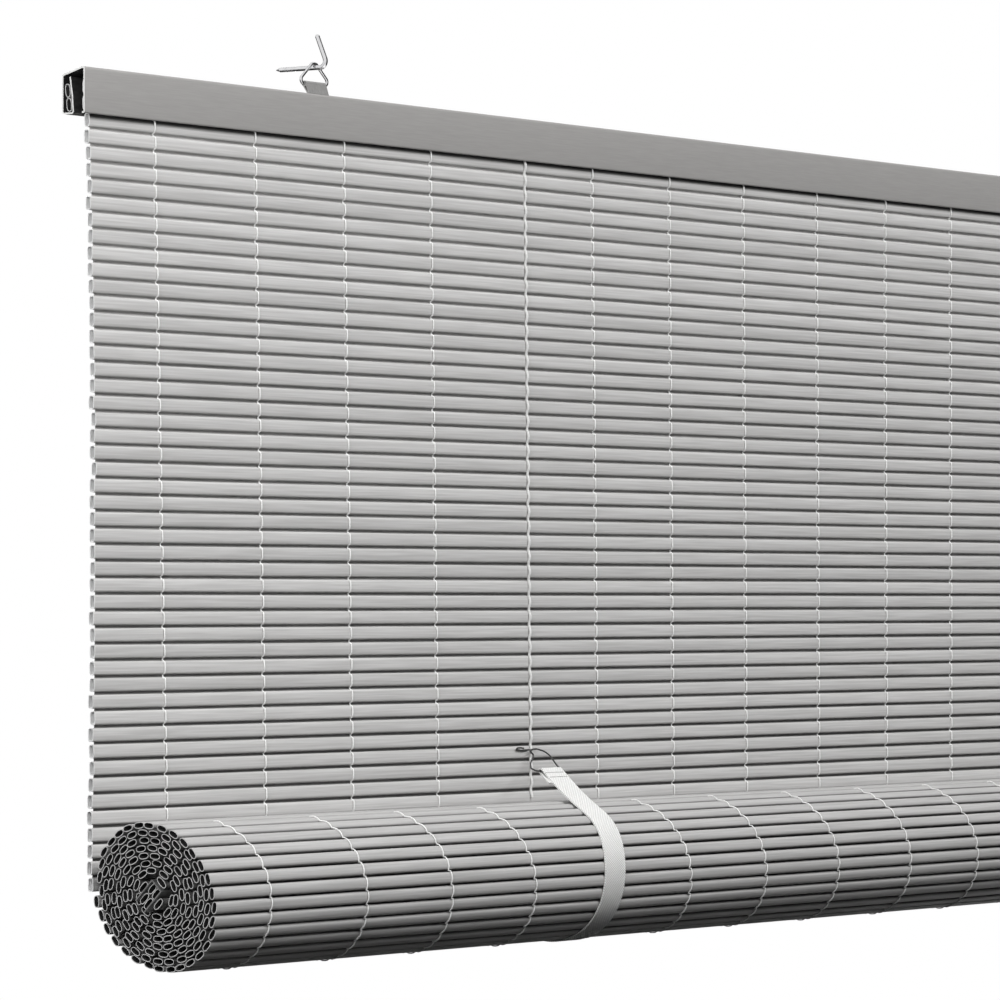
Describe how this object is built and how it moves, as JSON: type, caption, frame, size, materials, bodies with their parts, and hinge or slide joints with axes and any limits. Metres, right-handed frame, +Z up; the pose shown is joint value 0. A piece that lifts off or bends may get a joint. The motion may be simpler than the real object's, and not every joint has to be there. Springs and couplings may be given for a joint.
{
  "type": "roll-up blind",
  "caption": "Roll-up blind of oval plastic tubes on a folded head rail, hung by wire bails on two wall hooks and held half rolled up by webbing straps.",
  "frame": {"origin": "midway between the two hook shanks, on the face of the wall they are screwed into", "axes": "+Z up, +X along the slats, +Y into the wall, so the blind's front faces -Y"},
  "size_m": [1.824, 0.1225, 0.5825],
  "materials": {
    "slat_plastic": "satin",
    "rail_paint": "fine grain",
    "wire_chrome": "polished",
    "hanger_steel": "plated",
    "rivet_aluminium": "satin",
    "channel_aluminium": "mill",
    "webbing": "woven",
    "link_wire": "dark",
    "cord_thread": "twisted"
  },
  "bodies": {
    "wall_hooks": {"wall_hook_left": "wire_chrome", "wall_hook_right": "wire_chrome"},
    "bails": {"bail_left": "wire_chrome", "bail_right": "wire_chrome"},
    "blind": {"hanger_left": "hanger_steel", "hanger_right": "hanger_steel", "hanger_rivets": "rivet_aluminium", "headrail": "rail_paint", "clamp_slat_upper": "slat_plastic", "clamp_slat_lower": "slat_plastic", "hanging_mat": "slat_plastic", "rolled_mat": "slat_plastic", "bottom_channel": "channel_aluminium", "bottom_slats": "slat_plastic", "strap_left": "webbing", "strap_right": "webbing", "strap_link_left": "link_wire", "strap_link_right": "link_wire", "hook_cord_left": "cord_thread", "hook_cord_right": "cord_thread"}
  },
  "joints": [
    {"name": "bail_swing", "type": "hinge", "parent": "wall_hooks", "child": "bails", "pos_m": [0, -0.014, 0.00258], "axis": [-1, 0, 0], "range_deg": [0, 40]},
    {"name": "blind_swing", "type": "hinge", "parent": "bails", "child": "blind", "pos_m": [0, -0.014, -0.01067], "axis": [-1, 0, 0], "range_deg": [0, 30]}
  ]
}
